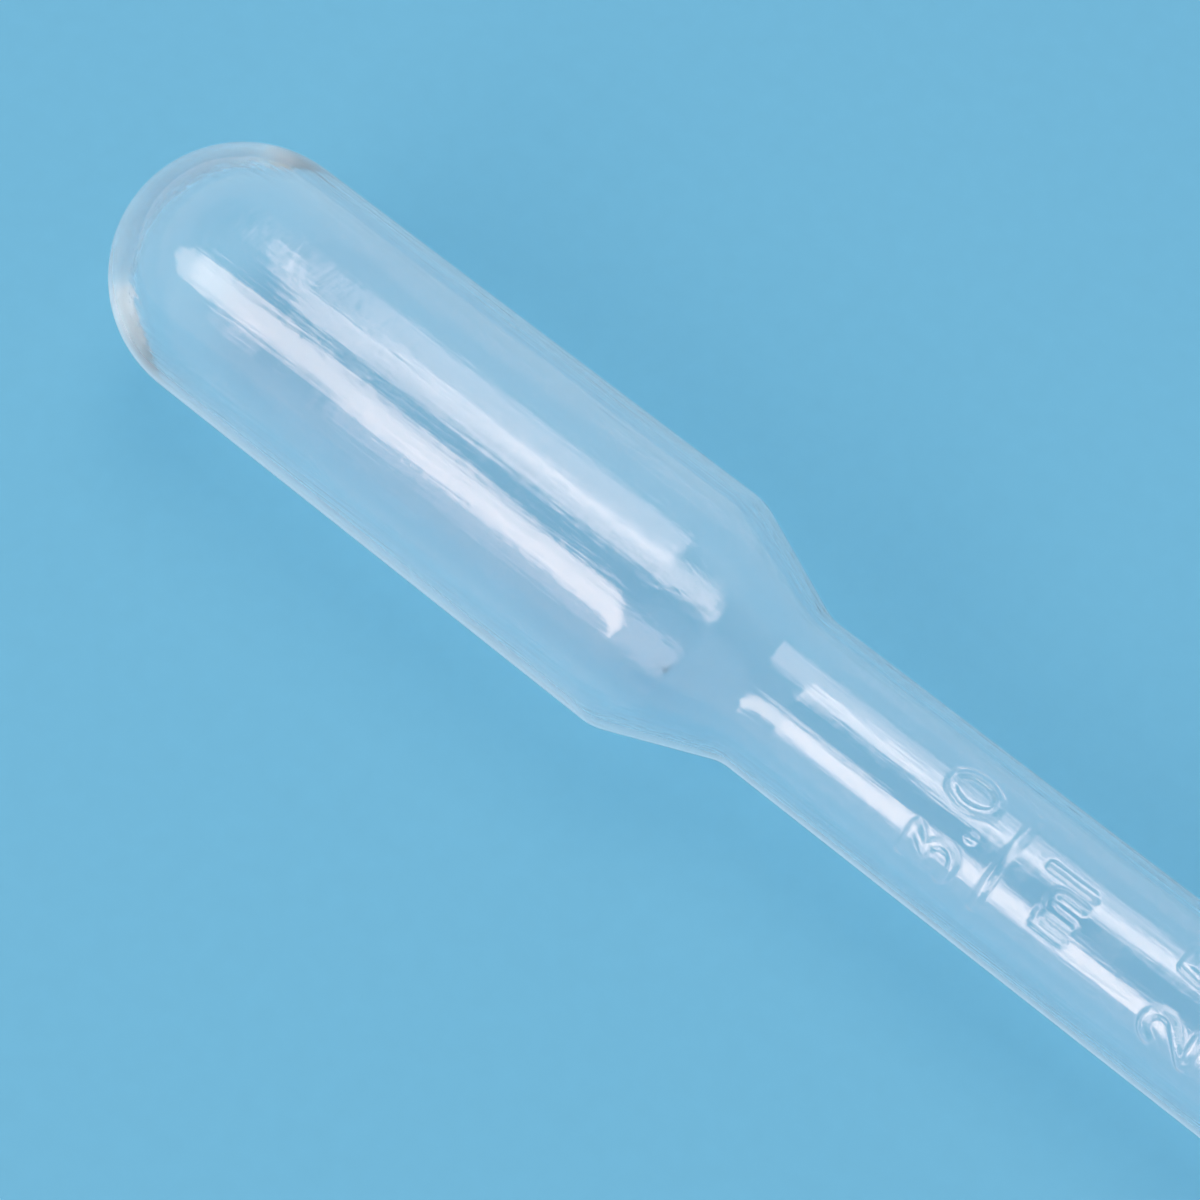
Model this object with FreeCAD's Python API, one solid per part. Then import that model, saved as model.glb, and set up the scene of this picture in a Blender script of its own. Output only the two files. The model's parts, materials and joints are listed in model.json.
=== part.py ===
"""Graduated dropper pipette, blow-moulded in one piece from clear low-density polyethylene.

A round squeeze bulb with a domed end runs through a short conical shoulder into a straight stem, and the stem
tapers down to a slender tip that is cut off square and open. The wall is thin and is thickest at the dome, where
the blown tube was pinched shut. Raised ribs across the stem mark each half millilitre drawn up from the tip.

The pipette is drawn along +X from the pole of its dome, turned about that axis, and then laid on the plane Z = 0
as it comes to rest, on the last full ring of its bulb and on the foot of its stem, with the tip a little clear of
the plane. Sizes are in millimetres.
"""

import FreeCAD, Part
import os
from FreeCAD import Vector
from math import asin, atan2, cos, degrees, hypot, pi, sin, sqrt, tan

# Outside form, from the pole of the dome to the mouth of the tip.
BULB_DIAMETER = 12.7
BULB_LENGTH = 33.0  # pole of the dome to the corner where the shoulder begins
SHOULDER_LENGTH = 5.7
STEM_DIAMETER = 8.0
STEM_LENGTH = 79.3
TAPER_LENGTH = 18.9
TIP_DIAMETER = 3.0
TIP_LENGTH = 18.1

# Roundings of the four corners, measured on the outside.
SHOULDER_TOP_ROUNDING = 5.0
SHOULDER_FOOT_ROUNDING = 4.0
TAPER_TOP_ROUNDING = 30.0
TAPER_FOOT_ROUNDING = 24.0

# Wall thicknesses.
DOME_WALL = 1.05
BULB_WALL = 0.40
STEM_WALL = 0.445
TIP_WALL = 0.55

# Graduation ribs. The scale faces SCALE_TURN degrees from straight up, towards -Y, as the pipette lies.
STEP_VOLUME = 500.0  # cubic millimetres between one rib and the next
LABEL_ROOM = 5.5  # plain stem kept above a rib for its numerals
RIB_WIDTH = 0.6
RIB_HEIGHT = 0.16
RIB_SINK = 0.1  # how far a rib's base reaches into the wall
RIB_SWEEP = 70.0  # degrees from the centre of one rounded end to the other
SCALE_TURN = 21.0
PLACE_TOLERANCE = 0.001  # how closely a rib's place is found

POLE = Vector(0, 0, 0)
AXIS = Vector(1, 0, 0)


def shoulder_at():
    """Place along the axis of the corner between bulb and shoulder."""
    return BULB_LENGTH


def stem_at():
    """Place of the corner between shoulder and stem."""
    return shoulder_at() + SHOULDER_LENGTH


def taper_at():
    """Place of the corner between stem and taper."""
    return stem_at() + STEM_LENGTH


def tip_at():
    """Place of the corner between taper and tip."""
    return taper_at() + TAPER_LENGTH


def mouth_at():
    """Place of the open end, which is the overall length."""
    return tip_at() + TIP_LENGTH


def outer_corners():
    """Corners of the outside, each with its rounding, from the dome's equator to the mouth."""
    bulb = BULB_DIAMETER / 2
    stem = STEM_DIAMETER / 2
    tip = TIP_DIAMETER / 2
    return [
        (Vector(bulb, 0, bulb), 0),
        (Vector(shoulder_at(), 0, bulb), SHOULDER_TOP_ROUNDING),
        (Vector(stem_at(), 0, stem), SHOULDER_FOOT_ROUNDING),
        (Vector(taper_at(), 0, stem), TAPER_TOP_ROUNDING),
        (Vector(tip_at(), 0, tip), TAPER_FOOT_ROUNDING),
        (Vector(mouth_at(), 0, tip), 0),
    ]


def inner_corners():
    """Corners of the bore. A rounding that bulges out is tighter inside by the wall, and a hollow one is wider."""
    bulb = BULB_DIAMETER / 2 - BULB_WALL
    stem = STEM_DIAMETER / 2 - STEM_WALL
    tip = TIP_DIAMETER / 2 - TIP_WALL
    shoulder_slope = atan2(BULB_DIAMETER - STEM_DIAMETER, 2 * SHOULDER_LENGTH)
    taper_slope = atan2(STEM_DIAMETER - TIP_DIAMETER, 2 * TAPER_LENGTH)
    shoulder = shoulder_at() - BULB_WALL * tan(shoulder_slope / 2)
    stem_top = stem_at() - STEM_WALL * tan(shoulder_slope / 2)
    taper = taper_at() - STEM_WALL * tan(taper_slope / 2)
    tip_top = tip_at() - TIP_WALL * tan(taper_slope / 2)
    return [
        (Vector(DOME_WALL + bulb, 0, bulb), 0),
        (Vector(shoulder, 0, bulb), SHOULDER_TOP_ROUNDING - BULB_WALL),
        (Vector(stem_top, 0, stem), SHOULDER_FOOT_ROUNDING + STEM_WALL),
        (Vector(taper, 0, stem), TAPER_TOP_ROUNDING - STEM_WALL),
        (Vector(tip_top, 0, tip), TAPER_FOOT_ROUNDING + TIP_WALL),
        (Vector(mouth_at(), 0, tip), 0),
    ]


def arc_at(corners, index):
    """Start, middle, end and centre of the arc that rounds one of a row of corners."""
    corner, rounding = corners[index]
    back = (corners[index - 1][0] - corner).normalize()
    ahead = (corners[index + 1][0] - corner).normalize()
    half = back.getAngle(ahead) / 2
    centre = corner + (back + ahead).normalize() * (rounding / sin(half))
    middle = centre + (corner - centre).normalize() * rounding
    reach = rounding / tan(half)
    return corner + back * reach, middle, corner + ahead * reach, centre


def profile(corners, pole):
    """Edges of one half outline: a quarter-round dome from its pole, then straight runs joined by tangent arcs."""
    equator = corners[0][0]
    radius = equator.z
    midway = Vector(pole.x + radius * (1 - cos(pi / 4)), 0, radius * sin(pi / 4))
    edges = [Part.Arc(pole, midway, equator).toShape()]
    reached = equator
    for index in range(1, len(corners) - 1):
        start, middle, end, _ = arc_at(corners, index)
        edges.append(Part.makeLine(reached, start))
        edges.append(Part.Arc(start, middle, end).toShape())
        reached = end
    edges.append(Part.makeLine(reached, corners[-1][0]))
    return edges


def outer_profile():
    """Edges of the outside, pole to mouth."""
    return profile(outer_corners(), POLE)


def inner_profile():
    """Edges of the bore, from the pole of its dome to the mouth."""
    return profile(inner_corners(), Vector(DOME_WALL, 0, 0))


def turned(edges):
    """The solid that a closed half outline sweeps in one full turn about the axis."""
    outline = Part.Wire(Part.sortEdges(edges)[0])
    return Part.Face(outline).revolve(POLE, AXIS, 360)


def make_wall():
    """The blown wall: the outside, the square cut at the mouth and the bore, turned as one outline."""
    mouth = Part.makeLine(outer_corners()[-1][0], inner_corners()[-1][0])
    dome = Part.makeLine(POLE, Vector(DOME_WALL, 0, 0))
    return turned(outer_profile() + [mouth] + inner_profile() + [dome])


def make_bore():
    """The space that the wall encloses, closed off flat at the mouth."""
    centre_of_mouth = Vector(mouth_at(), 0, 0)
    mouth = Part.makeLine(inner_corners()[-1][0], centre_of_mouth)
    middle = Part.makeLine(centre_of_mouth, Vector(DOME_WALL, 0, 0))
    return turned(inner_profile() + [mouth, middle])


def volume_to_mouth(bore, place):
    """Volume of the bore between a place on the axis and the mouth."""
    room = BULB_DIAMETER
    slab = Part.makeBox(mouth_at() - place, room, room, Vector(place, -room / 2, -room / 2))
    return bore.common(slab).Volume


def place_for_volume(bore, volume):
    """The place on the axis up to which the pipette draws a volume through its tip."""
    low = DOME_WALL
    high = mouth_at()
    while high - low > PLACE_TOLERANCE:
        middle = (low + high) / 2
        if volume_to_mouth(bore, middle) > volume:
            low = middle
        else:
            high = middle
    return (low + high) / 2


def rib_places():
    """Places of the ribs, one for each step of volume, up to the last that leaves room on the stem for its label."""
    bore = make_bore()
    most = volume_to_mouth(bore, stem_at() + LABEL_ROOM)
    steps = int(most // STEP_VOLUME)
    return [place_for_volume(bore, step * STEP_VOLUME) for step in range(1, steps + 1)]


def outer_radius(place):
    """Radius of the outside at a place on the axis."""
    outside = Part.Wire(outer_profile())
    probe = Part.makeLine(Vector(place, 0, 0), Vector(place, 0, BULB_DIAMETER))
    return outside.distToShape(probe)[1][0][0].z


def make_rib(place):
    """One rib: a low round-topped bar bent round the stem, rounded off at both ends."""
    crown = (RIB_WIDTH**2 / 4 + RIB_HEIGHT**2) / (2 * RIB_HEIGHT)  # radius of the rounded top
    depth = outer_radius(place) + RIB_HEIGHT - crown  # from the axis out to the centre of that round
    base = crown - RIB_HEIGHT - RIB_SINK  # from that centre out to the rib's flat base
    half_base = sqrt(crown**2 - base**2)
    left = Vector(place - half_base, 0, depth + base)
    right = Vector(place + half_base, 0, depth + base)
    top = Vector(place, 0, depth + crown)
    section = Part.Wire([Part.Arc(left, top, right).toShape(), Part.makeLine(right, left)])
    first_turn = SCALE_TURN - RIB_SWEEP / 2
    last_turn = SCALE_TURN + RIB_SWEEP / 2
    bar = Part.Face(section)
    bar.rotate(POLE, AXIS, first_turn)
    bar = bar.revolve(POLE, AXIS, RIB_SWEEP)
    ends = []
    for turn in (first_turn, last_turn):
        end = Part.makeSphere(crown, Vector(place, 0, depth), Vector(0, 0, 1), degrees(asin(base / crown)), 90, 360)
        end.rotate(POLE, AXIS, turn)
        ends.append(end)
    return bar.fuse(ends)


def slope_between(near, far):
    """Angle to the axis of the line that lies on two circles from outside, each given by its centre and radius."""
    run = far[0].x - near[0].x
    fall = near[0].z - far[0].z
    return atan2(fall, run) + asin((near[1] - far[1]) / hypot(run, fall))


def rest_slope():
    """Angle in radians by which the axis leans as the pipette lies on its bulb and on what comes down next."""
    corners = outer_corners()
    bulb = (arc_at(corners, 1)[3], SHOULDER_TOP_ROUNDING)
    foot_of_stem = (arc_at(corners, 3)[3], TAPER_TOP_ROUNDING)
    rim_of_tip = (corners[-1][0], 0)
    return min(slope_between(bulb, foot_of_stem), slope_between(bulb, rim_of_tip))


def lay_down(shape):
    """The pipette as it rests on Z = 0, with its box centred on the Z axis and its tip towards +X."""
    laid = shape.copy()
    laid.rotate(POLE, Vector(0, 1, 0), degrees(rest_slope()))
    box = laid.optimalBoundingBox(False, False)
    laid.translate(Vector(-box.Center.x, 0, -box.ZMin))
    return laid


def make_pipette():
    """The whole moulding, wall and ribs as one solid."""
    moulding = make_wall().fuse([make_rib(place) for place in rib_places()])
    return lay_down(moulding.removeSplitter())


def main():
    """Writes the one piece to parts/."""
    os.makedirs("parts", exist_ok=True)
    make_pipette().exportStep("parts/pipette.step")


if __name__ == "__main__":
    main()
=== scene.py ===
"""A graduated dropper pipette of clear polyethylene, lying on pale blue card under two softboxes.

The pipette is one thin blown wall: a squeeze bulb with a thick domed end, a short shoulder, a straight
stem with raised half-millilitre marks and their numerals, and a taper down to an open tip. The wall is
drawn as a flat sheet, the marks are raised on it, and the sheet is rolled up about the axis along which
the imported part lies. Sizes are in millimetres and degrees unless a note says otherwise, and become metres
where a mesh is made.
"""

import json
import logging
import math
from dataclasses import dataclass, field
from enum import Enum

import bpy
from mathutils import Matrix, Vector

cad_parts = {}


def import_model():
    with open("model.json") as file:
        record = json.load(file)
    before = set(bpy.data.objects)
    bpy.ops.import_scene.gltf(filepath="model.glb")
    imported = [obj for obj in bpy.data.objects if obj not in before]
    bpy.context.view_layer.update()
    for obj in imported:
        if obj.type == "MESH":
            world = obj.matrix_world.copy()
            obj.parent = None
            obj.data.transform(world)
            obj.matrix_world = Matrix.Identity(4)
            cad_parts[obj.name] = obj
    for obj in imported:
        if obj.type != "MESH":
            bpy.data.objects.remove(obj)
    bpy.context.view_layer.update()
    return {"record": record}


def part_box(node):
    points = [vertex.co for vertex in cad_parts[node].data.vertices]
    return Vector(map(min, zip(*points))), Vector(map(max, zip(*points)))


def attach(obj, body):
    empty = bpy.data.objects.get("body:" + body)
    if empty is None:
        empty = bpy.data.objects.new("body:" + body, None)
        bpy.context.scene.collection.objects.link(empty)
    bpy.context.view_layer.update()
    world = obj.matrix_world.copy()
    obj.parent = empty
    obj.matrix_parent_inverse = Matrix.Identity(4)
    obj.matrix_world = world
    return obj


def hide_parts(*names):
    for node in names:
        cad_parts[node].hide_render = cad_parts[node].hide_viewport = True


LOG = logging.getLogger("pipette")
MM = 0.001
SEED = 7
BORE_SPACING = 2.0  # spacing of rows in the bore, against the outside
NECK_LEAD = 0.25  # how far before the shoulder the milkiness starts to thin, against its length
MOUTH_BOW = 0.3  # how far in the middle of a broken edge stands, against the whole
LIT_PLACE = 40.0  # place on the pipette's axis that the lamps face
WELD = 1e-6  # metres within which points of the rolled sheet become one
COLOUR_A, COLOUR_B, COLOUR_OUT = 6, 7, 2  # a Mix node's sockets for colours, whose names aren't unique


class Skin(Enum):
    """The two faces of the blown wall."""

    OUTSIDE = 1.0
    BORE = 0.0


@dataclass(frozen=True)
class Lie:
    """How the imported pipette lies: the pole of its dome and the directions about its axis, in metres.

    Args:
        pole: The outermost point of the dome.
        axis: Unit direction from the dome towards the tip.
        side: Unit direction across the axis, level, towards +Y.
        up: Unit direction square to both, the highest side of the barrel.
    """

    pole: Vector
    axis: Vector
    side: Vector
    up: Vector

    @classmethod
    def of_part(cls, record: dict, node: str, dome_radius: float) -> "Lie":
        """Reads the axis from the stem's mount and finds the pole from the node's box.

        Args:
            record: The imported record.
            node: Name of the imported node.
            dome_radius: Radius of the dome in metres.

        Returns:
            The lie of the pipette.
        """
        mount = next(m for m in record["mounts"] if m["name"] == "stem")
        axis = Vector(mount["axis"]).normalized()
        on_axis = Vector(mount["pos_m"])
        lowest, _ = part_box(node)
        centre = on_axis + axis * ((lowest.x + dome_radius - on_axis.x) / axis.x)
        side = Vector((0.0, 1.0, 0.0))
        return cls(centre - axis * dome_radius, axis, side, axis.cross(side))

    def point(self, place: float, radius: float = 0.0, turn: float = 0.0) -> Vector:
        """The point at a place along the axis, a radius from it and a turn from its top towards -Y."""
        angle = math.radians(turn)
        out = self.up * math.cos(angle) - self.side * math.sin(angle)
        return self.pole + (self.axis * place + out * radius) * MM


@dataclass(frozen=True)
class Corner:
    """A corner of an outline: its place along the axis, its radius there, and how it is rounded."""

    place: float
    radius: float
    rounding: float = 0.0


@dataclass(frozen=True)
class Outline:
    """One half outline of the barrel: a quarter-round dome, then straight runs with rounded corners.

    Args:
        pole: Place of the dome's pole along the axis.
        corners: The foot of the dome, then each corner on the way to the mouth.
    """

    pole: float
    corners: tuple[Corner, ...]

    @property
    def dome(self) -> float:
        """Radius of the dome."""
        return self.corners[0].radius

    def arc(self, index: int) -> tuple[float, float, float, float]:
        """The arc that rounds a corner.

        Args:
            index: Which corner.

        Returns:
            Places where the arc starts and ends, and the place and radius of its centre.
        """
        before, corner, after = self.corners[index - 1 : index + 2]
        slope_in = math.atan2(corner.radius - before.radius, corner.place - before.place)
        slope_out = math.atan2(after.radius - corner.radius, after.place - corner.place)
        reach = corner.rounding * math.tan(abs(slope_out - slope_in) / 2)
        start = corner.place - reach * math.cos(slope_in)
        end = corner.place + reach * math.cos(slope_out)
        hollow = 1.0 if slope_out > slope_in else -1.0
        centre = start - hollow * corner.rounding * math.sin(slope_in)
        height = corner.radius - reach * math.sin(slope_in) + hollow * corner.rounding * math.cos(slope_in)
        return start, end, centre, height

    def radius_at(self, place: float) -> float:
        """Radius of the outline at a place along the axis."""
        first = self.corners[0]
        if place < first.place:
            return math.sqrt(max(0.0, self.dome**2 - (first.place - place) ** 2))
        for index in range(1, len(self.corners) - 1):
            start, end, centre, height = self.arc(index)
            if start <= place <= end:
                rise = math.sqrt(self.corners[index].rounding ** 2 - (place - centre) ** 2)
                return height + rise if height < self.corners[index].radius else height - rise
        for before, after in zip(self.corners, self.corners[1:]):
            if place <= after.place:
                share = (place - before.place) / (after.place - before.place)
                return before.radius + share * (after.radius - before.radius)
        return self.corners[-1].radius


@dataclass(frozen=True)
class Barrel:
    """Sizes of the moulding: its outside from the pole of the dome to the mouth of the tip, and its wall.

    Args:
        bulb_diameter: Diameter of the bulb.
        bulb_length: Pole of the dome to the corner where the shoulder begins.
        shoulder_length: That corner to the one where the stem begins.
        stem_diameter: Diameter of the stem.
        stem_length: Length of the stem between its corners.
        taper_length: Length of the taper between its corners.
        tip_diameter: Diameter of the tip.
        tip_length: Where the tip begins to its mouth.
        roundings: Roundings of the outside at the shoulder, the stem, the taper and the tip.
        dome_wall: Thickness of the wall at the pole.
        bulb_wall: Thickness of the wall of the bulb.
        stem_wall: Thickness of the wall of the stem.
        tip_wall: Thickness of the wall of the tip.
    """

    bulb_diameter: float = 12.7
    bulb_length: float = 33.0
    shoulder_length: float = 5.7
    stem_diameter: float = 8.0
    stem_length: float = 79.3
    taper_length: float = 18.9
    tip_diameter: float = 3.0
    tip_length: float = 18.1
    roundings: tuple[float, float, float, float] = (2.6, 2.4, 30.0, 24.0)
    dome_wall: float = 1.05
    bulb_wall: float = 0.40
    stem_wall: float = 0.445
    tip_wall: float = 0.55

    @property
    def places(self) -> tuple[float, float, float, float, float]:
        """Places of the corners at the shoulder, the stem, the taper, the tip and the mouth."""
        shoulder = self.bulb_length
        stem = shoulder + self.shoulder_length
        taper = stem + self.stem_length
        tip = taper + self.taper_length
        return shoulder, stem, taper, tip, tip + self.tip_length

    def outside(self) -> Outline:
        """The outline of the outside."""
        shoulder, stem, taper, tip, mouth = self.places
        bulb = self.bulb_diameter / 2
        return Outline(
            0.0,
            (
                Corner(bulb, bulb),
                Corner(shoulder, bulb, self.roundings[0]),
                Corner(stem, self.stem_diameter / 2, self.roundings[1]),
                Corner(taper, self.stem_diameter / 2, self.roundings[2]),
                Corner(tip, self.tip_diameter / 2, self.roundings[3]),
                Corner(mouth, self.tip_diameter / 2),
            ),
        )

    def bore(self) -> Outline:
        """The outline of the bore, thicker walled at the dome, with its corners set back by the wall."""
        shoulder, stem, taper, tip, mouth = self.places
        bulb = self.bulb_diameter / 2 - self.bulb_wall
        barrel = self.stem_diameter / 2 - self.stem_wall
        end = self.tip_diameter / 2 - self.tip_wall
        steep = math.tan(math.atan2(self.bulb_diameter - self.stem_diameter, 2 * self.shoulder_length) / 2)
        gentle = math.tan(math.atan2(self.stem_diameter - self.tip_diameter, 2 * self.taper_length) / 2)
        return Outline(
            self.dome_wall,
            (
                Corner(self.dome_wall + bulb, bulb),
                Corner(shoulder - self.bulb_wall * steep, bulb, self.roundings[0] - self.bulb_wall),
                Corner(stem - self.stem_wall * steep, barrel, self.roundings[1] + self.stem_wall),
                Corner(taper - self.stem_wall * gentle, barrel, self.roundings[2] - self.stem_wall),
                Corner(tip - self.tip_wall * gentle, end, self.roundings[3] + self.tip_wall),
                Corner(mouth, end),
            ),
        )


def bow(
    middle: tuple[float, float], reach: tuple[float, float], start: float, end: float, steps: int = 24
) -> list[tuple[float, float]]:
    """Points on part of an ellipse.

    Args:
        middle: Centre of the ellipse.
        reach: Its half width and half height.
        start: Angle of the first point, in degrees from the right, turning up.
        end: Angle of the last point.
        steps: How many runs the arc is divided into.

    Returns:
        The points in order.
    """
    angles = [math.radians(start + (end - start) * step / steps) for step in range(steps + 1)]
    return [(middle[0] + reach[0] * math.cos(a), middle[1] + reach[1] * math.sin(a)) for a in angles]


@dataclass(frozen=True)
class Letter:
    """One raised character: its width and the lines that its cutter follows, in parts of its height."""

    width: float
    strokes: tuple[list, ...]


LETTERS = {
    "0": Letter(0.66, (bow((0.0, 0.5), (0.33, 0.5), 90, 450, 40),)),
    "1": Letter(0.34, ([(-0.17, 0.78), (0.04, 1.0), (0.04, 0.0)],)),
    "2": Letter(0.62, (bow((0.0, 0.7), (0.29, 0.3), 165, -35) + [(-0.31, 0.0), (0.31, 0.0)],)),
    "3": Letter(
        0.60,
        ([(-0.28, 1.0), (0.27, 1.0), (-0.03, 0.6)] + bow((-0.03, 0.3), (0.31, 0.3), 90, -145),),
    ),
    "5": Letter(
        0.60,
        ([(0.25, 1.0), (-0.21, 1.0), (-0.25, 0.56)] + bow((-0.02, 0.31), (0.3, 0.31), 125, -145),),
    ),
    ".": Letter(0.16, ([(0.0, 0.0), (0.0, 0.03)],)),
    "m": Letter(
        0.78,
        (
            [(-0.39, 0.0), (-0.39, 0.62)],
            [(-0.39, 0.3)] + bow((-0.195, 0.4), (0.195, 0.24), 180, 0, 16) + [(0.0, 0.0)],
            [(0.0, 0.3)] + bow((0.195, 0.4), (0.195, 0.24), 180, 0, 16) + [(0.39, 0.0)],
        ),
    ),
    "l": Letter(0.12, ([(0.0, 0.0), (0.0, 1.0)],)),
}


@dataclass(frozen=True)
class Scale:
    """The raised marks: one line across the stem for each half millilitre, its numerals above and ml below.

    Args:
        turn: Where the scale faces, in degrees from the top of the barrel towards -Y.
        full_mark: Place along the axis of the mark for the largest volume.
        pitch: Distance between marks.
        volumes: The numerals, from the largest volume down.
        line_span: Length of a mark round the stem, between the middles of its ends.
        numeral_height: Height of a numeral between the middles of its strokes.
        unit_height: Height of the letter l between the middles of its ends.
        numeral_gap: From a mark to the foot of its numerals, middle to middle.
        unit_gap: From a mark to the top of ml, middle to middle.
        spacing: Clear width between the numerals.
        unit_spacing: Clear width between the letters of ml.
        stroke: Width of a stroke at half its height.
        soft: Width over which a stroke's side rises.
        height: How far the strokes stand proud.
    """

    turn: float = 21.0
    full_mark: float = 52.094
    pitch: float = 12.593
    volumes: tuple[str, ...] = ("3.0", "2.5", "2.0", "1.5", "1.0", "0.5")
    line_span: float = 4.85
    numeral_height: float = 2.35
    unit_height: float = 2.2
    numeral_gap: float = 1.6
    unit_gap: float = 1.75
    spacing: float = 0.72
    unit_spacing: float = 0.55
    stroke: float = 0.42
    soft: float = 0.2
    height: float = 0.15

    def marks(self) -> list[float]:
        """Places of the marks along the axis."""
        return [self.full_mark + self.pitch * step for step in range(len(self.volumes))]

    def line_of(self, text: str, foot: float, height: float, spacing: float) -> list[list]:
        """Strokes of a word, centred on the scale.

        Args:
            text: The characters.
            foot: Place along the axis of the word's base line.
            height: Height of a full character.
            spacing: Clear width between characters.

        Returns:
            Strokes as rows of (arc, place) points. Arc runs to the reader's right, and place falls as a
            letter rises.
        """
        letters = [LETTERS[c] for c in text]
        full = sum(letter.width * height for letter in letters) + spacing * (len(letters) - 1)
        left = -full / 2
        strokes = []
        for letter in letters:
            middle = left + letter.width * height / 2
            for stroke in letter.strokes:
                strokes.append([(middle + x * height, foot - y * height) for x, y in stroke])
            left += letter.width * height + spacing
        return strokes

    def strokes(self) -> list[list]:
        """Every stroke of the scale as rows of (arc, place) points."""
        drawn = []
        for mark, volume in zip(self.marks(), self.volumes):
            drawn.append([(-self.line_span / 2, mark), (self.line_span / 2, mark)])
            drawn += self.line_of(volume, mark - self.numeral_gap, self.numeral_height, self.spacing)
            foot = mark + self.unit_gap + self.unit_height
            drawn += self.line_of("ml", foot, self.unit_height, self.unit_spacing)
        return drawn

    def band(self, mark: float) -> tuple[float, float]:
        """The places between which a mark's strokes lie, with room for their sides."""
        room = self.stroke / 2 + self.soft
        first = mark - self.numeral_gap - self.numeral_height - room
        return first, mark + self.unit_gap + self.unit_height + room


class Wiring:
    """Adds nodes to a tree and joins their sockets."""

    def __init__(self, tree: bpy.types.NodeTree) -> None:
        """Takes the tree to work on."""
        self.tree = tree

    def add(self, kind: str, values: dict | None = None, **settings: object) -> bpy.types.Node:
        """Adds a node.

        Args:
            kind: The node's type name.
            values: What its inputs hold, by name or number: a plain value, or a socket to join to it.
            settings: Its properties.

        Returns:
            The node.
        """
        node = self.tree.nodes.new(kind)
        for name, setting in settings.items():
            setattr(node, name, setting)
        for name, value in (values or {}).items():
            socket = node.inputs[name]
            if isinstance(value, bpy.types.NodeSocket):
                self.tree.links.new(value, socket)
            else:
                socket.default_value = value
        return node

    def math(self, operation: str, *values: float | bpy.types.NodeSocket) -> bpy.types.NodeSocket:
        """The result of a Math node on plain values or sockets."""
        node = self.add("ShaderNodeMath", dict(enumerate(values)), operation=operation)
        return node.outputs[0]

    def vector(self, operation: str, *values: tuple | bpy.types.NodeSocket) -> bpy.types.NodeSocket:
        """Adds a Vector Math node that gives a vector.

        Args:
            operation: What it does.
            values: Plain values or sockets; scaling takes its factor last.

        Returns:
            The result.
        """
        sockets = (0, "Scale") if operation == "SCALE" else (0, 1)
        node = self.add("ShaderNodeVectorMath", dict(zip(sockets, values)), operation=operation)
        return node.outputs[0]


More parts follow.
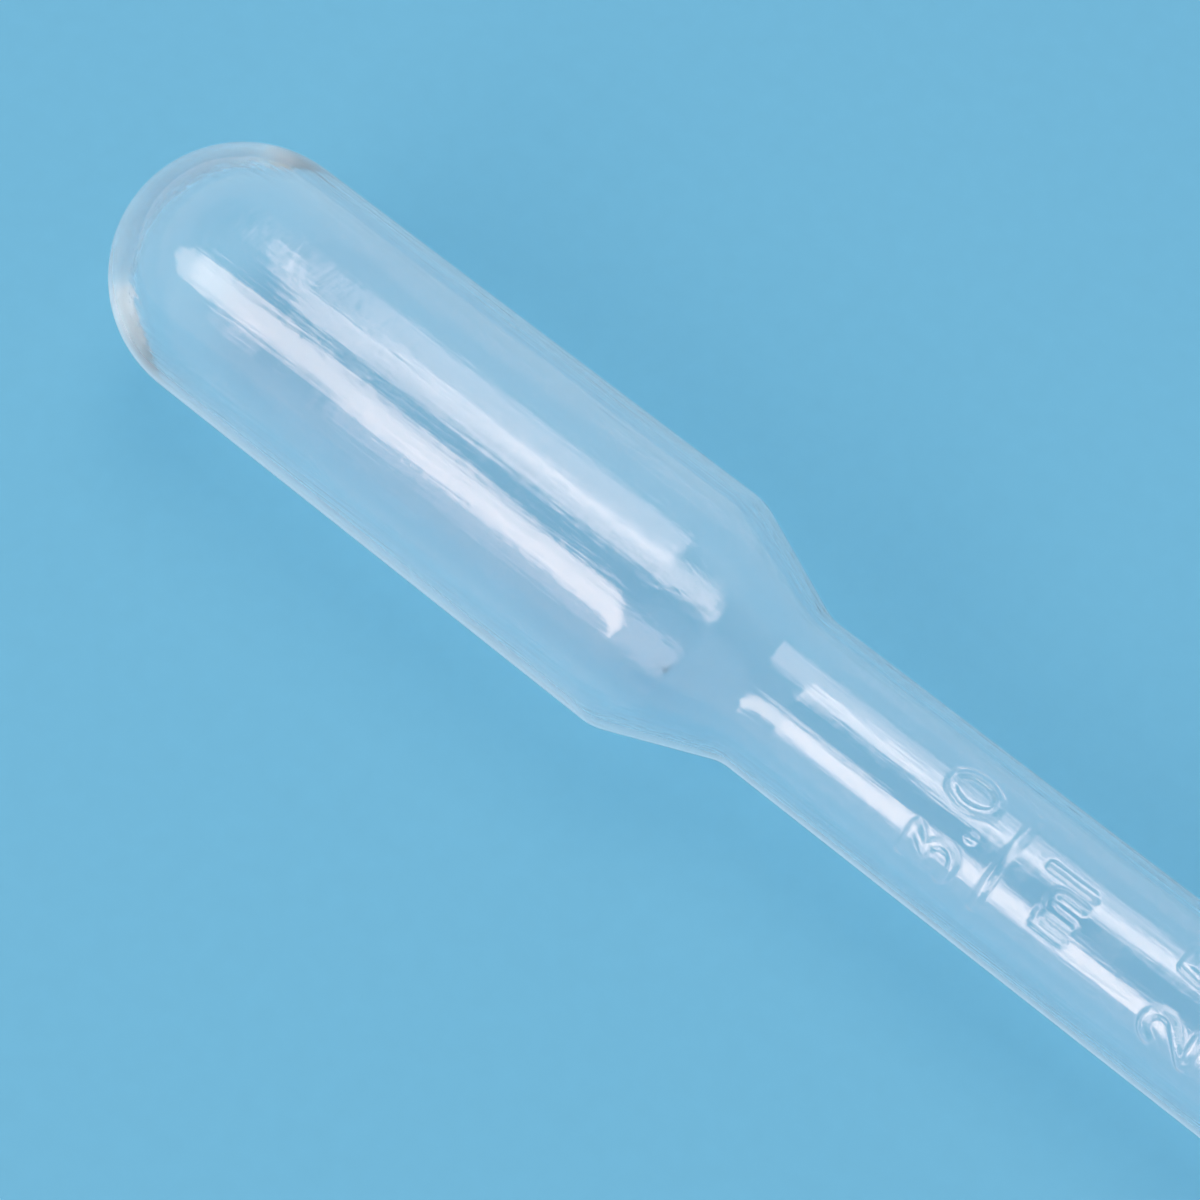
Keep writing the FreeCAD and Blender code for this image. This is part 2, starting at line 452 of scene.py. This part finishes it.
@dataclass(frozen=True)
class ClearPolyethylene:
    """The finish of the moulding: clear low-density polyethylene, milkiest where it is seen edge on.

    Args:
        tint: Colour of the clear plastic.
        index: Its refractive index.
        roughness: How far its gloss spreads.
        edge_power: How close to the edge the milkiness of a wall seen edge on keeps.
        inner_share: How much of the milkiness light meets on its way out of the plastic.
        grain: Height in metres of the fine grain that the mould gives the outside.
        grain_density: How finely it is set along X, Y and Z, each metre.
        streak: Height in metres of the drag lines that blowing leaves in the bore.
        outer_streak: Height in metres of the drag lines on the outside.
        streak_density: How finely the drag lines are set along X, Y and Z, each metre.
        drawn: X in metres between which the drag lines begin, round the foot of the dome.
        relief_power: How soon grain and drag lines fade where they are seen edge on.
    """

    tint: tuple[float, float, float, float] = (0.985, 0.99, 1.0, 1.0)
    index: float = 1.51
    roughness: float = 0.05
    edge_power: float = 5.0
    inner_share: float = 0.35
    grain: float = 0.00002
    grain_density: tuple[float, float, float] = (1800.0, 1200.0, 1200.0)
    streak: float = 0.000026
    outer_streak: float = 0.00002
    streak_density: tuple[float, float, float] = (150.0, 3000.0, 3000.0)
    drawn: tuple[float, float] = (-0.0765, -0.0700)
    relief_power: float = 2.5

    def unevenness(
        self, wire: Wiring, place: bpy.types.NodeSocket, density: tuple[float, float, float], detail: float
    ) -> bpy.types.NodeSocket:
        """Random heights, finer along some directions than others.

        Args:
            wire: The tree to add to.
            place: Where on the moulding the height is wanted.
            density: How finely the heights are set along X, Y and Z.
            detail: How many finer layers are added.

        Returns:
            The height, from 0 to 1.
        """
        stretched = wire.add("ShaderNodeMapping", {"Vector": place, "Scale": density}).outputs[0]
        noise = wire.add("ShaderNodeTexNoise", {"Vector": stretched, "Scale": 1.0, "Detail": detail})
        return noise.outputs["Fac"]

    def relief(self, wire: Wiring) -> bpy.types.NodeSocket:
        """The height of the grain and the drag lines, in millimetres."""
        place = wire.add("ShaderNodeTexCoord").outputs["Object"]
        outside = wire.add("ShaderNodeAttribute", attribute_name="outside").outputs["Fac"]
        grain = self.unevenness(wire, place, self.grain_density, 1.0)
        drag = self.unevenness(wire, place, self.streak_density, 3.0)
        depth = wire.add(
            "ShaderNodeMapRange",
            {"Value": outside, "To Min": self.streak / MM, "To Max": self.outer_streak / MM},
        ).outputs[0]
        foot = wire.add(
            "ShaderNodeMapRange",
            {
                "Value": wire.add("ShaderNodeSeparateXYZ", {"Vector": place}).outputs["X"],
                "From Min": self.drawn[0],
                "From Max": self.drawn[1],
            },
            interpolation_type="SMOOTHSTEP",
        ).outputs[0]
        return wire.math(
            "ADD",
            wire.math("MULTIPLY", wire.math("MULTIPLY", grain, outside), self.grain / MM),
            wire.math("MULTIPLY", wire.math("MULTIPLY", drag, depth), foot),
        )

    def clarity(self, wire: Wiring, facing: bpy.types.NodeSocket) -> bpy.types.NodeSocket:
        """The share of light that passes without being scattered.

        Args:
            wire: The tree to add to.
            facing: How far the wall is seen edge on, from 0 to 1.

        Returns:
            The share, from 0 to 1.
        """
        haze, edge_haze = (
            wire.add("ShaderNodeAttribute", attribute_name=name).outputs["Fac"]
            for name in ("haze", "edge_haze")
        )
        slant = wire.math("POWER", facing, self.edge_power)
        leaving = wire.add("ShaderNodeNewGeometry").outputs["Backfacing"]
        share = wire.add(
            "ShaderNodeMapRange", {"Value": leaving, "To Min": 1.0, "To Max": self.inner_share}
        ).outputs[0]
        scattered = wire.math("MULTIPLY", wire.math("MULTIPLY_ADD", slant, edge_haze, haze), share)
        return wire.math("MAXIMUM", wire.math("SUBTRACT", 1.0, scattered), 0.0)

    def material(self) -> bpy.types.Material:
        """Builds the material."""
        made = bpy.data.materials.new("hazed_polyethylene")
        made.use_nodes = True
        made.node_tree.nodes.clear()
        wire = Wiring(made.node_tree)
        facing = wire.add("ShaderNodeLayerWeight", {"Blend": 0.5}).outputs["Facing"]
        fading = wire.math("POWER", wire.math("SUBTRACT", 1.0, facing), self.relief_power)
        bump = wire.add("ShaderNodeBump", {"Height": self.relief(wire), "Strength": fading, "Distance": MM})
        glass = wire.add(
            "ShaderNodeBsdfPrincipled",
            {
                "Base Color": self.tint,
                "Roughness": self.roughness,
                "IOR": self.index,
                "Transmission Weight": self.clarity(wire, facing),
                "Normal": bump.outputs[0],
            },
        )
        wire.add("ShaderNodeOutputMaterial", {"Surface": glass.outputs[0]})
        return made


@dataclass(frozen=True)
class BlueCard:
    """The finish of the table: smooth pale blue card with a barely visible tooth.

    Args:
        colour: Its colour.
        mottle: How far the tooth lightens and darkens it.
        tooth: How finely the tooth is set, each metre.
        roughness: How far its gloss spreads.
    """

    colour: tuple[float, float, float] = (0.144, 0.462, 0.672)
    mottle: float = 0.03
    tooth: float = 900.0
    roughness: float = 0.75

    def material(self) -> bpy.types.Material:
        """Builds the material."""
        made = bpy.data.materials.new("pale_blue_card")
        made.use_nodes = True
        made.node_tree.nodes.clear()
        wire = Wiring(made.node_tree)
        place = wire.add("ShaderNodeTexCoord").outputs["Object"]
        tooth = wire.add("ShaderNodeTexNoise", {"Vector": place, "Scale": self.tooth, "Detail": 3.0})
        shade = wire.add(
            "ShaderNodeMapRange",
            {"Value": tooth.outputs["Fac"], "To Min": 1.0 - self.mottle, "To Max": 1.0 + self.mottle},
        )
        colour = wire.vector("SCALE", self.colour, shade.outputs[0])
        card = wire.add("ShaderNodeBsdfPrincipled", {"Base Color": colour, "Roughness": self.roughness})
        wire.add("ShaderNodeOutputMaterial", {"Surface": card.outputs[0]})
        return made


@dataclass(frozen=True)
class Cloud:
    """How milky the blown wall is: most in the thick dome and down its thicker side, which lies towards +Y.

    Args:
        clear: Share of light that the plain wall scatters.
        dome: Share more at the pole of the dome.
        thick_side: Share more along the thick side.
        thin_side: Share more along the side opposite, where the mould closes.
        stem_share: How much of the sides' milkiness is left on the stem.
        turn: Where the thin side faces, in degrees from the top towards -Y; the thick side faces as far
            the other way.
        reach: Degrees from there to plain wall.
        edge_thin: How milky the thin side is edge on; past 1, it is all milk before the very edge.
        edge_thick: How milky the thick side is edge on.
        edge_dome: How milky the pole of the dome is edge on.
    """

    clear: float = 0.05
    dome: float = 0.08
    thick_side: float = 0.12
    thin_side: float = 0.03
    stem_share: float = 0.5
    turn: float = 67.0
    reach: float = 42.0
    edge_thin: float = 2.0
    edge_thick: float = 0.42
    edge_dome: float = 0.35

    def at(self, domed: float, necked: float, turn: float) -> tuple[float, float]:
        """The haze at a point of the wall.

        Args:
            domed: How near it is to the pole of the dome, from 0 at the dome's foot to 1.
            necked: How far down the shoulder it is, from 0 on the bulb to 1 on the stem.
            turn: Its turn in degrees from the top towards -Y.

        Returns:
            How much light the wall scatters where it is looked straight through, and how milky it is
            edge on.
        """
        off_thick, off_thin = ((turn - middle + 180) % 360 - 180 for middle in (-self.turn, self.turn))
        thick = 1 / (1 + (off_thick / self.reach) ** 4)
        thin = 1 / (1 + (off_thin / self.reach) ** 4)
        side = 0.5 - 0.5 * math.sin(math.radians(turn))
        plain_edge = self.edge_thin + (self.edge_thick - self.edge_thin) * side
        sides = (self.thick_side * thick + self.thin_side * thin) * (1 - (1 - self.stem_share) * necked)
        haze = self.clear + self.dome * domed + sides * (1 - domed)
        return haze, plain_edge + (self.edge_dome - plain_edge) * domed


class RollUp(Wiring):
    """The Geometry Nodes that raise the marks, let the bore wander, and roll the sheet up."""

    INPUTS = {
        "Sheet": "Geometry",
        "Cutter Paths": "Object",
        "Stroke Width": "Float",
        "Stroke Softness": "Float",
        "Mark Height": "Float",
        "Waviness": "Float",
        "Wave Density": "Float",
        "Wave Scale": "Float",
        "Pole Room": "Float",
        "Seed": "Float",
        "Pole": "Vector",
        "Axis": "Vector",
        "Side": "Vector",
        "Up": "Vector",
        "Finish": "Material",
    }

    def __init__(self) -> None:
        """Makes the tree with its named inputs, and reads what the sheet carries."""
        super().__init__(bpy.data.node_groups.new("roll_up_marked_wall", "GeometryNodeTree"))
        for name, kind in self.INPUTS.items():
            self.tree.interface.new_socket(name, in_out="INPUT", socket_type=f"NodeSocket{kind}")
        self.tree.interface.new_socket("Wall", in_out="OUTPUT", socket_type="NodeSocketGeometry")
        self.given = self.add("NodeGroupInput").outputs
        self.place = self.fact("place")
        self.radius = self.fact("radius")
        self.outside = self.fact("outside")
        turn = self.fact("turn")
        self.cosine = self.math("COSINE", turn)
        self.sine = self.math("SINE", turn)

    def fact(self, name: str) -> bpy.types.NodeSocket:
        """A number that each point of the sheet carries."""
        return self.add("GeometryNodeInputNamedAttribute", {"Name": name}, data_type="FLOAT").outputs[0]

    def mark(self) -> bpy.types.NodeSocket:
        """How far a point is raised by the marks, from its distance to the cutter's paths."""
        paths = self.add("GeometryNodeObjectInfo", {"Object": self.given["Cutter Paths"]}).outputs["Geometry"]
        near = self.add("GeometryNodeProximity", {0: paths}, target_element="EDGES").outputs["Distance"]
        half = self.math("MULTIPLY", self.given["Stroke Width"], 0.5)
        slope = self.math("MULTIPLY", self.given["Stroke Softness"], 0.5)
        raised = self.add(
            "ShaderNodeMapRange",
            {
                "Value": near,
                "From Min": self.math("SUBTRACT", half, slope),
                "From Max": self.math("ADD", half, slope),
                "To Min": 1.0,
                "To Max": 0.0,
            },
            interpolation_type="SMOOTHSTEP",
        ).outputs[0]
        return self.math("MULTIPLY", self.math("MULTIPLY", raised, self.given["Mark Height"]), self.outside)

    def wander(self) -> bpy.types.NodeSocket:
        """How far a point of the bore strays from its outline, nothing at the pole and on the outside."""
        along = self.math("MULTIPLY", self.place, self.given["Wave Density"])
        round_about = self.add("ShaderNodeCombineXYZ", {"X": along, "Y": self.cosine, "Z": self.sine})
        noise = self.add(
            "ShaderNodeTexNoise",
            {
                "Vector": round_about.outputs[0],
                "W": self.given["Seed"],
                "Scale": self.given["Wave Scale"],
                "Detail": 3.0,
            },
            noise_dimensions="4D",
        ).outputs[0]
        reach = self.math("MULTIPLY", self.given["Waviness"], 2.0)
        swell = self.math("MULTIPLY", self.math("SUBTRACT", noise, 0.5), reach)
        bore_only = self.math("MULTIPLY", swell, self.math("SUBTRACT", 1.0, self.outside))
        fade = self.math("MINIMUM", 1.0, self.math("DIVIDE", self.radius, self.given["Pole Room"]))
        return self.math("MULTIPLY", bore_only, fade)

    def rolled(self) -> bpy.types.NodeSocket:
        """Where a point of the sheet lands on the barrel."""
        settled = self.math("ADD", self.radius, self.math("ADD", self.mark(), self.wander()))
        out = self.vector(
            "SUBTRACT",
            self.vector("SCALE", self.given["Up"], self.cosine),
            self.vector("SCALE", self.given["Side"], self.sine),
        )
        along = self.vector("ADD", self.given["Pole"], self.vector("SCALE", self.given["Axis"], self.place))
        return self.vector("ADD", along, self.vector("SCALE", out, settled))

    def joined(self) -> bpy.types.GeometryNodeTree:
        """Joins the steps from the sheet to the finished wall and returns the tree."""
        start = {"Geometry": self.given["Sheet"], "Position": self.rolled()}
        step = self.add("GeometryNodeSetPosition", start)
        step = self.add("GeometryNodeMergeByDistance", {"Geometry": step.outputs[0], "Distance": WELD})
        step = self.add("GeometryNodeSetShadeSmooth", {"Geometry": step.outputs[0]})
        step = self.add("GeometryNodeRealizeInstances", {"Geometry": step.outputs[0]})
        finished = {"Geometry": step.outputs[0], "Material": self.given["Finish"]}
        step = self.add("GeometryNodeSetMaterial", finished)
        self.add("NodeGroupOutput", {"Wall": step.outputs[0]})
        return self.tree


@dataclass
class BlownWall:
    """The whole pipette as one closed wall, outside and bore, with the scale raised on its stem.

    Args:
        barrel: Sizes of the moulding.
        scale: The raised marks.
        lie: How the pipette lies.
        fine: Spacing of rows and columns across the first marks.
        fine_marks: How many marks are finely spaced.
        coarse: Spacing of rows across the other marks.
        curved: Spacing of rows where the shoulder bends.
        curved_room: How far past its two corners that spacing keeps.
        plain: Spacing of rows on plain wall.
        plain_turn: Degrees between columns away from the scale.
        dome_rows: Rows from the pole of the dome to its foot.
        broken: How far the edges of the mouth are broken.
        waviness: How far the bore wanders, as blown film does.
        wave_density: How fast it wanders along the axis, in turns of the barrel each metre.
        wave_scale: How finely it wanders in all.
        pole_room: Radius in metres at which the bore has its full waviness, none at the pole.
        cloud: How milky the plastic is.
        finish: What the wall is made of.
    """

    barrel: Barrel
    scale: Scale
    lie: Lie
    fine: float = 0.1
    fine_marks: int = 2
    coarse: float = 0.25
    curved: float = 0.3
    curved_room: float = 1.5
    plain: float = 0.8
    plain_turn: float = 5.0
    dome_rows: int = 22
    broken: float = 0.06
    waviness: float = 0.03
    wave_density: float = 120.0
    wave_scale: float = 1.6
    pole_room: float = 0.0025
    cloud: Cloud = field(default_factory=Cloud)
    finish: ClearPolyethylene = field(default_factory=ClearPolyethylene)

    def spacing_at(self, place: float, skin: Skin) -> float:
        """Distance to the next row from a place along the axis."""
        wider = 1.0 if skin is Skin.OUTSIDE else BORE_SPACING
        for number, mark in enumerate(self.scale.marks()):
            first, last = self.scale.band(mark)
            if first - self.plain < place < last:
                return (self.fine if number < self.fine_marks else self.coarse) * wider
        shoulder, stem = self.barrel.places[:2]
        if shoulder - self.curved_room < place < stem + self.curved_room:
            return self.curved * wider
        return self.plain

    def stations(self, outline: Outline, skin: Skin) -> list[tuple[float, float]]:
        """Rows of one face of the wall from the pole of its dome, each by its place and radius.

        Args:
            outline: The half outline that they follow.
            skin: Which face it is.

        Returns:
            The rows, up to just short of the mouth.
        """
        rows = []
        for step in range(self.dome_rows):
            angle = math.pi / 2 * step / self.dome_rows
            place = outline.pole + outline.dome * (1 - math.cos(angle))
            rows.append((place, outline.dome * math.sin(angle)))
        place = outline.pole + outline.dome
        end = outline.corners[-1].place - 2 * self.fine
        while place < end:
            rows.append((place, outline.radius_at(place)))
            place += self.spacing_at(place, skin)
        return rows

    def rim(self) -> list[tuple[float, float, Skin]]:
        """Rows round the square-cut mouth, with its edges just broken."""
        mouth = self.barrel.places[-1]
        outer = self.barrel.tip_diameter / 2
        inner = outer - self.barrel.tip_wall
        bowed = self.broken * MOUTH_BOW
        return [
            (mouth - self.broken, outer, Skin.OUTSIDE),
            (mouth - bowed, outer - bowed, Skin.OUTSIDE),
            (mouth, outer - self.broken, Skin.OUTSIDE),
            (mouth, inner + self.broken, Skin.BORE),
            (mouth - bowed, inner + bowed, Skin.BORE),
            (mouth - self.broken, inner, Skin.BORE),
        ]

    def rows(self) -> list[tuple[float, float, Skin]]:
        """Rows of the whole closed outline: out along the outside, over the rim and back along the bore."""
        outside = [(*row, Skin.OUTSIDE) for row in self.stations(self.barrel.outside(), Skin.OUTSIDE)]
        bore = [(*row, Skin.BORE) for row in self.stations(self.barrel.bore(), Skin.BORE)]
        return outside + self.rim() + bore[::-1]

    def columns(self) -> list[float]:
        """Turns of the columns in degrees, once round from behind the scale, closest at the scale."""
        radius = self.barrel.stem_diameter / 2
        reach = math.degrees((self.scale.line_span / 2 + self.scale.stroke) / radius)
        close = math.degrees(self.fine / radius)
        near = round(2 * reach / close)
        far = round((180 - reach) / self.plain_turn)
        turns = [-180 + (180 - reach) * step / far for step in range(far)]
        turns += [-reach + 2 * reach * step / near for step in range(near)]
        turns += [reach + (180 - reach) * step / far for step in range(far + 1)]
        return [self.scale.turn + turn for turn in turns]

    def haze_at(self, place: float, turn: float) -> tuple[float, float]:
        """How milky the wall is at a place along the axis and a turn from its top, plainly and edge on."""
        domed = max(0.0, 1 - place / (self.barrel.bulb_diameter / 2))
        shoulder = self.barrel.places[0] - self.barrel.shoulder_length * NECK_LEAD
        necked = min(1.0, max(0.0, (place - shoulder) / self.barrel.shoulder_length))
        return self.cloud.at(domed, necked, turn)

    def sheet(self) -> bpy.types.Mesh:
        """The wall unrolled: a grid that carries where each of its points belongs on the barrel."""
        rows = self.rows()
        columns = self.columns()
        stem = self.barrel.stem_diameter / 2
        facts = {}
        flat = []
        for place, radius, skin in rows:
            for turn in columns:
                arc = math.radians(self.scale.turn - turn) * stem
                flat.append((arc * MM, place * MM, 0.0))
                haze, edge_haze = self.haze_at(place, turn)
                carried = {
                    "place": place * MM,
                    "radius": radius * MM,
                    "turn": math.radians(turn),
                    "outside": skin.value,
                    "haze": haze * skin.value,
                    "edge_haze": edge_haze * skin.value,
                }
                for name, value in carried.items():
                    facts.setdefault(name, []).append(value)
        wide = len(columns)
        faces = []
        for row in range(len(rows) - 1):
            for column in range(wide - 1):
                corner = row * wide + column
                faces.append((corner, corner + 1, corner + wide + 1, corner + wide))
        mesh = bpy.data.meshes.new("unrolled_wall")
        mesh.from_pydata(flat, [], faces)
        for name, values in facts.items():
            mesh.attributes.new(name, "FLOAT", "POINT").data.foreach_set("value", values)
        return mesh

    def cutter_paths(self) -> bpy.types.Object:
        """The centre lines of the scale's strokes, drawn on the unrolled sheet."""
        points = []
        edges = []
        for stroke in self.scale.strokes():
            first = len(points)
            points += [(arc * MM, place * MM, 0.0) for arc, place in stroke]
            edges += [(first + step, first + step + 1) for step in range(len(stroke) - 1)]
        mesh = bpy.data.meshes.new("cutter_paths")
        mesh.from_pydata(points, edges, [])
        paths = bpy.data.objects.new("cutter_paths", mesh)
        bpy.context.scene.collection.objects.link(paths)
        return paths

    def build(self) -> bpy.types.Object:
        """Builds the wall and returns it as a plain mesh at the origin."""
        paths = self.cutter_paths()
        sheet = bpy.data.objects.new("unrolled_wall", self.sheet())
        bpy.context.scene.collection.objects.link(sheet)
        tree = RollUp().joined()
        modifier = sheet.modifiers.new("roll_up", "NODES")
        modifier.node_group = tree
        settings = {
            "Cutter Paths": paths,
            "Stroke Width": self.scale.stroke * MM,
            "Stroke Softness": self.scale.soft * MM,
            "Mark Height": self.scale.height * MM,
            "Waviness": self.waviness * MM,
            "Wave Density": self.wave_density,
            "Wave Scale": self.wave_scale,
            "Pole Room": self.pole_room,
            "Seed": float(SEED),
            "Pole": self.lie.pole,
            "Axis": self.lie.axis,
            "Side": self.lie.side,
            "Up": self.lie.up,
            "Finish": self.finish.material(),
        }
        for item in tree.interface.items_tree:
            if item.name in settings:
                modifier[item.identifier] = settings[item.name]
        bpy.context.view_layer.update()
        evaluated = sheet.evaluated_get(bpy.context.evaluated_depsgraph_get())
        mesh = bpy.data.meshes.new_from_object(evaluated)
        mesh.name = "blown_wall"
        for name in ("place", "radius", "turn"):
            mesh.attributes.remove(mesh.attributes[name])
        wall = bpy.data.objects.new("blown_wall", mesh)
        bpy.context.scene.collection.objects.link(wall)
        bpy.data.objects.remove(sheet)
        bpy.data.objects.remove(paths)
        return wall


@dataclass(frozen=True)
class Table:
    """The card that the pipette lies on.

    Args:
        width: Width and depth of the card in metres.
        finish: What it is made of.
    """

    width: float = 3.0
    finish: BlueCard = field(default_factory=BlueCard)

    def build(self) -> bpy.types.Object:
        """Builds the card as one flat sheet at the height where the pipette rests."""
        half = self.width / 2
        corners = [(-half, -half, 0), (half, -half, 0), (half, half, 0), (-half, half, 0)]
        mesh = bpy.data.meshes.new("card")
        mesh.from_pydata(corners, [], [(0, 1, 2, 3)])
        mesh.materials.append(self.finish.material())
        card = bpy.data.objects.new("card", mesh)
        bpy.context.scene.collection.objects.link(card)
        return card


@dataclass(frozen=True)
class Softbox:
    """A soft lamp with a hot middle and a falling edge, hung about the pipette.

    Args:
        name: What the lamp is called.
        aside: Degrees from straight above towards -Y.
        along: Degrees towards the tip.
        twist: Turn of its long side away from the pipette's axis.
        size: Its width and length in metres.
        radiance: Brightness of its middle.
        colour: Its colour.
        distance: How far off it hangs, in metres.
        edges: Share of its width over which it brightens from its sides, then the shares of its length
            over which it brightens from its end towards the bulb and its end towards the tip.
    """

    name: str
    aside: float
    along: float
    twist: float
    size: tuple[float, float]
    radiance: float
    colour: tuple[float, float, float] = (1.0, 1.0, 1.0)
    distance: float = 0.8
    edges: tuple[float, float, float] = (0.15, 0.12, 0.05)

    def build(self, lie: Lie, about: Vector) -> bpy.types.Object:
        """Builds the lamp.

        Args:
            lie: The directions about the pipette's axis.
            about: The point that it faces.

        Returns:
            The lamp.
        """
        aside = math.radians(self.aside)
        along = math.radians(self.along)
        twist = math.radians(self.twist)
        across = lie.up * math.cos(aside) - lie.side * math.sin(aside)
        towards = lie.axis * math.sin(along) + across * math.cos(along)
        lengthwise = lie.axis * math.cos(along) - across * math.sin(along)
        sideways = -lie.up * math.sin(aside) - lie.side * math.cos(aside)
        long_side = lengthwise * math.cos(twist) + sideways * math.sin(twist)
        short_side = long_side.cross(towards)
        lamp = bpy.data.lights.new(self.name, "AREA")
        lamp.shape = "RECTANGLE"
        lamp.size, lamp.size_y = self.size
        lamp.energy = math.pi * self.size[0] * self.size[1]
        lamp.use_nodes = True
        lamp.node_tree.nodes.clear()
        wire = Wiring(lamp.node_tree)
        over = wire.add("ShaderNodeNewGeometry").outputs["Parametric"]
        parts = wire.add("ShaderNodeSeparateXYZ", {"Vector": over}).outputs
        from_left, from_bulb = parts["X"], parts["Y"]
        from_side = wire.math("MINIMUM", from_left, wire.math("SUBTRACT", 1.0, from_left))
        insets = (from_side, from_bulb, wire.math("SUBTRACT", 1.0, from_bulb))
        level = self.radiance
        for inset, edge in zip(insets, self.edges):
            fall = wire.add(
                "ShaderNodeMapRange",
                {"Value": inset, "From Min": 0.0, "From Max": edge, "To Min": 0.0, "To Max": 1.0},
                interpolation_type="SMOOTHSTEP",
            )
            level = wire.math("MULTIPLY", level, fall.outputs[0])
        glow = wire.add("ShaderNodeEmission", {"Color": (*self.colour, 1.0), "Strength": level})
        wire.add("ShaderNodeOutputLight", {"Surface": glow.outputs[0]})
        held = bpy.data.objects.new(self.name, lamp)
        turn = Matrix((short_side, long_side, towards)).transposed().to_4x4()
        held.matrix_world = Matrix.Translation(about + towards * self.distance) @ turn
        held.visible_camera = False
        bpy.context.scene.collection.objects.link(held)
        return held


@dataclass(frozen=True)
class Room:
    """The pale room about the table, darker overhead than round the walls.

    Args:
        overhead: Its light from straight above.
        walls: Its light from the sides.
        turning: Heights of a direction, from 0 level to 1 upright, between which one turns to the other.
    """

    overhead: tuple[float, float, float] = (0.22, 0.36, 0.46)
    walls: tuple[float, float, float] = (0.70, 0.81, 0.89)
    turning: tuple[float, float] = (0.72, 0.86)

    def build(self) -> bpy.types.World:
        """Builds the room's light."""
        world = bpy.data.worlds.new("room")
        world.use_nodes = True
        world.node_tree.nodes.clear()
        wire = Wiring(world.node_tree)
        direction = wire.add("ShaderNodeTexCoord").outputs["Generated"]
        height = wire.add("ShaderNodeSeparateXYZ", {"Vector": direction}).outputs["Z"]
        share = wire.add(
            "ShaderNodeMapRange",
            {"Value": height, "From Min": self.turning[0], "From Max": self.turning[1]},
            interpolation_type="SMOOTHSTEP",
        ).outputs[0]
        shades = {0: share, COLOUR_A: (*self.walls, 1.0), COLOUR_B: (*self.overhead, 1.0)}
        shade = wire.add("ShaderNodeMix", shades, data_type="RGBA")
        light = wire.add("ShaderNodeBackground", {"Color": shade.outputs[COLOUR_OUT], "Strength": 1.0})
        wire.add("ShaderNodeOutputWorld", {"Surface": light.outputs[0]})
        bpy.context.scene.world = world
        return world


@dataclass(frozen=True)
class Viewpoint:
    """The camera: where it looks from, what it looks at, and its lens.

    Args:
        azimuth: Degrees that it stands round from -Y towards +X.
        elevation: Degrees that it stands above the table.
        distance: How far it stands from what it looks at.
        place: Place on the pipette's axis that it looks at.
        aside: How far to the right of that place it looks.
        field_of_view: Width of its view in degrees.
    """

    azimuth: float = 41.191
    elevation: float = 60.410
    distance: float = 171.457
    place: float = 31.942
    aside: float = -2.678
    field_of_view: float = 17.763

    def build(self, lie: Lie) -> bpy.types.Object:
        """Builds the camera and makes it the scene's."""
        azimuth = math.radians(self.azimuth)
        elevation = math.radians(self.elevation)
        level = math.cos(elevation)
        back = Vector((math.sin(azimuth) * level, -math.cos(azimuth) * level, math.sin(elevation)))
        right = Vector((math.cos(azimuth), math.sin(azimuth), 0.0))
        lens = bpy.data.cameras.new("camera")
        lens.sensor_width = 36.0
        lens.angle = math.radians(self.field_of_view)
        lens.clip_start = 0.005
        lens.clip_end = 10.0
        camera = bpy.data.objects.new("camera", lens)
        place = lie.point(self.place) + right * self.aside * MM + back * self.distance * MM
        turn = Matrix((right, back.cross(right), back)).transposed().to_4x4()
        camera.matrix_world = Matrix.Translation(place) @ turn
        bpy.context.scene.collection.objects.link(camera)
        bpy.context.scene.camera = camera
        return camera


LAMPS = (
    Softbox(
        "key_softbox",
        aside=51.0,
        along=-16.0,
        twist=38.0,
        size=(0.31, 0.78),
        radiance=5.1,
        colour=(1.0, 0.71, 0.55),
    ),
    Softbox(
        "top_softbox",
        aside=-17.0,
        along=-8.0,
        twist=0.0,
        size=(0.52, 0.56),
        radiance=2.5,
        colour=(1.0, 0.73, 0.62),
        edges=(0.1, 0.1, 0.1),
    ),
)


def light_scene(lie: Lie) -> None:
    """Hangs the lamps, lights the room, and lets light pass every face of the wall unblurred."""
    for lamp in LAMPS:
        lamp.build(lie, lie.point(LIT_PLACE))
    Room().build()
    scene = bpy.context.scene
    scene.view_settings.view_transform = "Standard"
    scene.cycles.max_bounces = 24
    scene.cycles.glossy_bounces = 16
    scene.cycles.transmission_bounces = 24
    scene.cycles.blur_glossy = 0.0


def main() -> None:
    """Builds the pipette, the table, the lamps and the camera."""
    logging.basicConfig(level=logging.INFO, format="%(name)s: %(message)s")
    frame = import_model()
    barrel = Barrel()
    lie = Lie.of_part(frame["record"], "pipette", barrel.bulb_diameter / 2 * MM)
    camera = Viewpoint().build(lie)
    LOG.info("camera at %s", tuple(round(value, 4) for value in camera.location))
    wall = BlownWall(barrel, Scale(), lie).build()
    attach(wall, "root")
    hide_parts("pipette")
    LOG.info("blown wall: %d faces", len(wall.data.polygons))
    card = Table().build()
    light_scene(lie)
    LOG.info("lit by %d lamps and the room", len(LAMPS))


if __name__ == "__main__":
    main()
